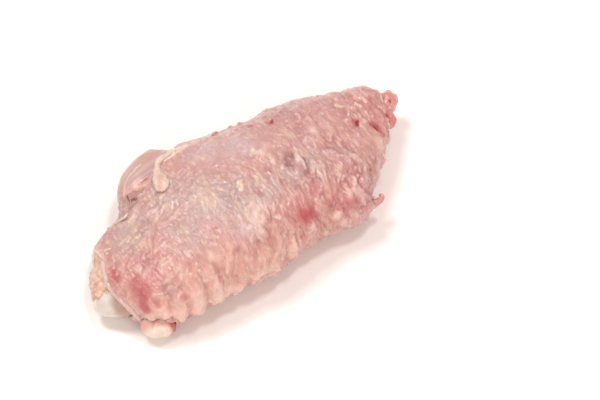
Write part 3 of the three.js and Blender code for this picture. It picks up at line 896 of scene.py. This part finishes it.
def make_skin(material):
    """The skin: a sleeve of even faces, fine outside and coarser inside, raised into its relief."""
    plan = Plan()
    sight = Sight("skin")
    bm = remeshed("skin", SKIN_VOXEL, SKIN_ROUNDS)
    centres = np.array([f.calc_center_median() for f in bm.faces]) / MM
    bm.normal_update()
    outside = (plan.outward(centres) * np.array([f.normal for f in bm.faces])).sum(1) > 0
    edges = [e for e in bm.edges if any(outside[f.index] for f in e.link_faces)]
    bmesh.ops.subdivide_edges(bm, edges=edges, cuts=1, use_grid_fill=True)
    relax(bm, 1)
    points, normals = places_and_normals(bm)
    facing = (plan.outward(points) * normals).sum(1)
    height, fine, creased = skin_relief(points, plan, sight)
    exposed = smoothstep(facing, *OUTER_FACING)
    pressed = PRESSED_LEFT + (1 - PRESSED_LEFT) * smoothstep(points[:, 2], *PRESSED_TO)
    height *= exposed * pressed
    raise_surface(bm, normals, height + exposed * pressed * fine)
    skin = mesh_object("skin_sleeve", bm, material)
    # crests painted paler as highlight, troughs and creases painted darker as shade
    set_share(skin.data, "relief", np.clip(height / FULL_CREST, -1, 1))
    set_share(skin.data, "crease", creased * exposed)
    # pale rim by the cut edges, partly painted light on the shaded cut wall
    set_share(skin.data, "rim", rim_share(points, facing))
    wavy = wander(points, size=1.7, reach=0.7)
    rings = [off_path(wavy, [sight.at(pixel)]) - half for half, _, pixel in RINGS[:TINTED_RINGS]]
    set_share(skin.data, "ring", np.exp(-((np.min(np.abs(rings), axis=0) / RING_WIDTH) ** 2)))
    moved = wander(wander(points, size=3.6, reach=1.3), size=1.1, reach=0.4)
    for name, strokes in SOFT_PATCHES.items():
        set_share(skin.data, name, stroke_share(moved, sight, strokes, outer=1.7, inner=0))
    slightly = wander(points, size=1.1, reach=0.35)
    for name, strokes in CRISP_PATCHES.items():
        set_share(skin.data, name, stroke_share(slightly, sight, strokes, outer=1.2, inner=0.5))
    hold(skin, "skin")


# What the muscle shows: half width in millimetres, strength and pixels
MUSCLE_STROKES = {
    "outer_strip": ((0.95, 1, (121, 209), (121, 196), (122, 184), (128, 172), (139, 161), (151, 153)),),
    "fascia": ((0.25, 0.8, (125.5, 206), (124.6, 198), (124.8, 188), (127, 181), (132, 173), (141, 165)),),
    "tan": ((1.2, 0.8, (142, 190), (147, 181)), (0.6, 0.6, (140, 166), (160, 152))),
    "pinker": ((2.3, 0.9, (131, 196), (140, 187)),),
    "nick": (
        (0.25, 0.7, (140, 183.5), (147, 178.5)), (0.35, 1, (128.5, 197), (131, 202)),
        (0.4, 1, (133, 201), (138, 199.5)),
    ),
    "deep": ((1.6, 1, (128, 205), (134, 203)),),
}
MUSCLE_SWELL, BUNDLE_RISE, FASCIA_STEP, NICK_DEPTH = 0.3, 0.2, 0.15, 0.4
BUNDLE_SIZE = (6, 1.6, 1.6)
BUNDLE_TURN = np.array(((0.8, -0.6, 0), (0.6, 0.8, 0), (0, 0, 1)))  # they run 37 degrees askew

# The same for the drop's middle, the joint's film, the meat's holes and torn spots, the shade painted on the
# bones' ends and the gristle's lip
CORE_STROKES = ((0.7, 1, (160, 176), (161, 187)),)
FILM_STROKES = ((1.6, 1, (94, 248), (94, 266)),)
HOLE_STROKES = (
    (0.45, 1, (389.5, 101)), (0.3, 0.6, (391, 113)), (0.3, 0.8, (128.5, 197), (131, 202)),
    (0.35, 0.9, (133, 201), (138, 199.5)),
)
TORN_STROKES = ((1, 0.9, (390, 114), (392, 123)), (0.7, 0.5, (394, 104)))
# Painted shade along the lower right and bottom of the bone's end
PAINTED_SHADE_STROKES = ((1.6, 1, (117, 303), (122, 309), (127, 315)), (0.7, 0.6, (103, 316), (120, 317)))
LIP_STROKES = ((1.6, 1, (143, 326), (154, 321), (168, 320)),)
WRIST_FROM = (30, 38)  # where along X the meat turns into the wrist's pinker flesh
TORN_TO = (3, 1.2)  # how far from its side the gristle starts to be torn, and is all red


def make_muscle():
    """The muscle: fibres along the bone, and a shallow step where the fascia parts its outer strip."""
    sight = Sight("extensor_muscle")
    bm = remeshed("extensor_muscle", voxel=0.4, rounds=12)
    points, normals = places_and_normals(bm)
    fascia = stroke_share(points, sight, MUSCLE_STROKES["fascia"], outer=3, inner=0)
    nicks = stroke_share(points, sight, MUSCLE_STROKES["nick"], outer=2.5)
    bundles = noise_at(points @ BUNDLE_TURN, BUNDLE_SIZE)
    height = MUSCLE_SWELL + BUNDLE_RISE * bundles - FASCIA_STEP * fascia - NICK_DEPTH * nicks
    raise_surface(bm, normals, height)
    muscle = mesh_object("bare_muscle", bm, muscle_material())
    moved = wander(points, size=2.2, reach=0.3)
    for name, strokes in MUSCLE_STROKES.items():
        set_share(muscle.data, name, stroke_share(moved, sight, strokes, outer=1.4, inner=0.5))
    hold(muscle, "extensor_muscle")


SUNK_FACING = (0.7, -0.1)  # what faces the camera stays, and what faces away is sunk


def lumpy(node, voxel, rounds, swell, rise, size, sunk=0.0):
    """A bmesh over a CAD node, swollen a little to meet its neighbours, with lumps of a size and a rise, and
    its far side sunk into what lies under it, in millimetres. Also its places."""
    bm = remeshed(node, voxel, rounds)
    points, normals = places_and_normals(bm)
    lumps = noise_at(wander(points, size, reach=0.4 * size), (size, size, size))
    raise_surface(bm, normals, swell + rise * lumps)
    for vert, away in zip(bm.verts, smoothstep(normals @ np.array(TO_CAMERA), *SUNK_FACING)):
        vert.co -= TO_CAMERA * sunk * away * MM
    return bm, points


def make_flesh(fat):
    """The meat, fat and gristle that show in the skin's openings, and the drop of fat."""
    bm, points = lumpy("meat", voxel=0.5, rounds=5, swell=0.45, rise=0.5, size=1.6)
    meat = mesh_object("joint_meat", bm, meat_material())
    set_share(meat.data, "wrist", smoothstep(points[:, 0], *WRIST_FROM))
    sight = Sight("meat")
    set_share(meat.data, "hole", stroke_share(points, sight, HOLE_STROKES, outer=1.3, inner=0.6))
    set_share(meat.data, "torn", stroke_share(points, sight, TORN_STROKES))
    hold(meat, "meat")

    bm, points = lumpy("elbow_fat", voxel=0.35, rounds=4, swell=0.45, rise=0.6, size=1.3)
    joint = mesh_object("joint_fat", bm, joint_fat_material())
    set_share(joint.data, "film", stroke_share(points, Sight("elbow_fat"), FILM_STROKES))
    hold(joint, "elbow_fat")

    bm, points = lumpy("elbow_gristle", voxel=0.3, rounds=8, swell=0.5, rise=0.7, size=1.6)
    knob = mesh_object("gristle_knob", bm, gristle_material())
    short_of_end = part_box("elbow_gristle")[1].x / MM - points[:, 0]
    set_share(knob.data, "torn", smoothstep(short_of_end, *TORN_TO))
    set_share(knob.data, "lip", stroke_share(points, Sight("elbow_gristle"), LIP_STROKES))
    hold(knob, "elbow_gristle")

    bm, points = lumpy("fat_drop", voxel=0.25, rounds=4, swell=0.15, rise=0.35, size=0.8, sunk=0.7)
    drop = mesh_object("fat_drop_soft", bm, fat)
    set_share(drop.data, "core", stroke_share(points, Sight("fat_drop"), CORE_STROKES))
    hold(drop, "fat_drop")


def make_bones():
    """The two bones, whose capped ends show at the elbow."""
    material = cartilage_material()
    for node in ("ulna", "radius"):
        bm, points = lumpy(node, voxel=0.45, rounds=8, swell=0.3, rise=0.3, size=3)
        bone = mesh_object(node + "_smooth", bm, material)
        moved = wander(points, size=2, reach=0.6)
        painted_shade_share = stroke_share(moved, Sight(node), PAINTED_SHADE_STROKES, outer=2, inner=0)
        set_share(bone.data, "stain", painted_shade_share)
        hold(bone, node)


def corners_cut(stations, rounds):
    """A path of places with their half widths, its corners cut off a few times so that it bends softly."""
    for _ in range(rounds):
        before, after = stations[:-1], stations[1:]
        cut = (0.75 * before + 0.25 * after, 0.25 * before + 0.75 * after)
        inner = np.stack(cut, axis=1).reshape(-1, 4)
        stations = np.concatenate((stations[:1], inner, stations[-1:]))
    return stations


STRAND_SIDES = 10


def strand(stations):
    """A bmesh of a soft strand through places with half widths, in millimetres, closed at both ends."""
    stations = corners_cut(stations, rounds=2)
    bm = bmesh.new()
    last = len(stations) - 1
    rings = []
    for i, (*place, half) in enumerate(stations):
        ahead = Vector(stations[min(i + 1, last)][:3] - stations[max(i - 1, 0)][:3])
        turn = ahead.to_track_quat("Z", "Y").to_matrix().to_4x4()
        matrix = Matrix.Translation(Vector(place) * MM) @ turn
        ring = bmesh.ops.create_circle(
            bm, segments=STRAND_SIDES, radius=half * MM, cap_ends=i in (0, last), matrix=matrix,
        )
        rings.append(list(dict.fromkeys(e for v in ring["verts"] for e in v.link_edges)))
    for ring, following in zip(rings, rings[1:]):
        bmesh.ops.bridge_loops(bm, edges=ring + following)
    bmesh.ops.recalc_face_normals(bm, faces=bm.faces)
    for vert in bm.verts:
        vert.co.z = max(vert.co.z, 0)
    return bm


# What hangs loose or curls, and the thin tissue that closes the corners beside the skin's edge: name, CAD
# node it lies on, slot of its finish, and its places as pixel, height above the node and half width, both in
# millimetres
STRANDS = (
    ("sinew", "skin", "fat", (
        ((107, 228.5), 0, 0.08), ((113, 225), 0.1, 0.14), ((118, 222), 0.2, 0.18), ((122.5, 219), 0.2, 0.4),
        ((126, 216.5), 0.1, 0.4), ((127.5, 213), 0, 0.12),
    )),
    ("sinew_strand", "meat", "fat", (
        ((126, 216), 0.3, 0.15), ((126, 210), 0.5, 0.12), ((126.5, 204), 0.4, 0.1),
    )),
    ("leading_flake", "skin", "fat", (
        ((210.5, 136), 0, 0.25), ((212.5, 133.5), 0.3, 0.35), ((215.5, 131.5), 0.5, 0.28),
        ((218, 132), 0.4, 0.1),
    )),
    ("wrist_fat", "meat", "fat", (((388.5, 107), 0.3, 0.4), ((390, 108), 0.4, 0.4), ((392, 108), 0.2, 0.2))),
    ("wrist_hair", "skin", "fat", (
        ((383, 154), -0.1, 0.24), ((385, 158), 0, 0.2), ((388, 160.5), 0.1, 0.14), ((391.5, 159), 0.3, 0.06),
    )),
    ("film_edge", "elbow_fat", "fat", (
        ((96, 270), 0, 0.1), ((92.5, 264), 0, 0.13), ((92, 255), 0, 0.13), ((95, 247), 0, 0.1),
    )),
    ("elbow_web", "skin", "skin", (
        ((103, 262), -1.0, 0.7), ((104.5, 277), -1.0, 0.8), ((112, 291), -1.1, 0.9), ((123, 302), -1.1, 0.9),
        ((133, 311), -1.1, 1.0), ((141, 319), -1.1, 1.0), ((146, 323), -1.0, 0.8),
    )),
    ("web_bone_side", "skin", "skin", (
        ((139, 317.5), -1.6, 1.0), ((143.5, 320.5), -1.6, 1.3), ((148, 321), -1.6, 1.0),
    )),
    ("web_lobe_side", "skin", "skin", (
        ((166, 318), -1.6, 1.0), ((170.5, 319), -1.6, 1.3), ((174, 317.5), -1.6, 1.0),
    )),
    ("rim_tag", "skin", "skin", (
        ((361, 210), -1.0, 1.2), ((367, 207), -0.5, 1.5), ((372, 205), 0.0, 1.3), ((377.5, 202), 0.4, 0.95),
        ((382, 199), 0.6, 0.7), ((382.5, 195.5), 0.8, 0.6), ((379, 195), 0.8, 0.35),
    )),
)
# The colour of the skin that each of those with its finish takes on, and how much of it
# the elbow web takes the rim's pale colour, which is partly painted light
STRAND_TINT = {"elbow_web": "rim", "web_bone_side": "pink", "web_lobe_side": "pink", "rim_tag": "pink"}
TINT_SHARE = 0.6


def make_strands(materials):
    """Each strand, laid on its node as the camera sees it and lifted towards the camera."""
    for name, node, slot, stations in STRANDS:
        sight = Sight(node)
        places = []
        for pixel, _, _ in stations:
            places.append(sight.at(pixel, places[-1] if places else None))
        raised = [[*(Vector(p) + TO_CAMERA * lift), half] for p, (_, lift, half) in zip(places, stations)]
        piece = mesh_object(name, strand(np.array(raised)), materials[slot])
        if slot == "skin":
            set_share(piece.data, STRAND_TINT[name], np.full(len(piece.data.vertices), TINT_SHARE))
        hold(piece, None)


make_camera()
make_lights()
make_floor()
materials = {"skin": skin_material(), "fat": fat_material()}
make_skin(materials["skin"])
make_muscle()
make_flesh(materials["fat"])
make_bones()
make_strands(materials)
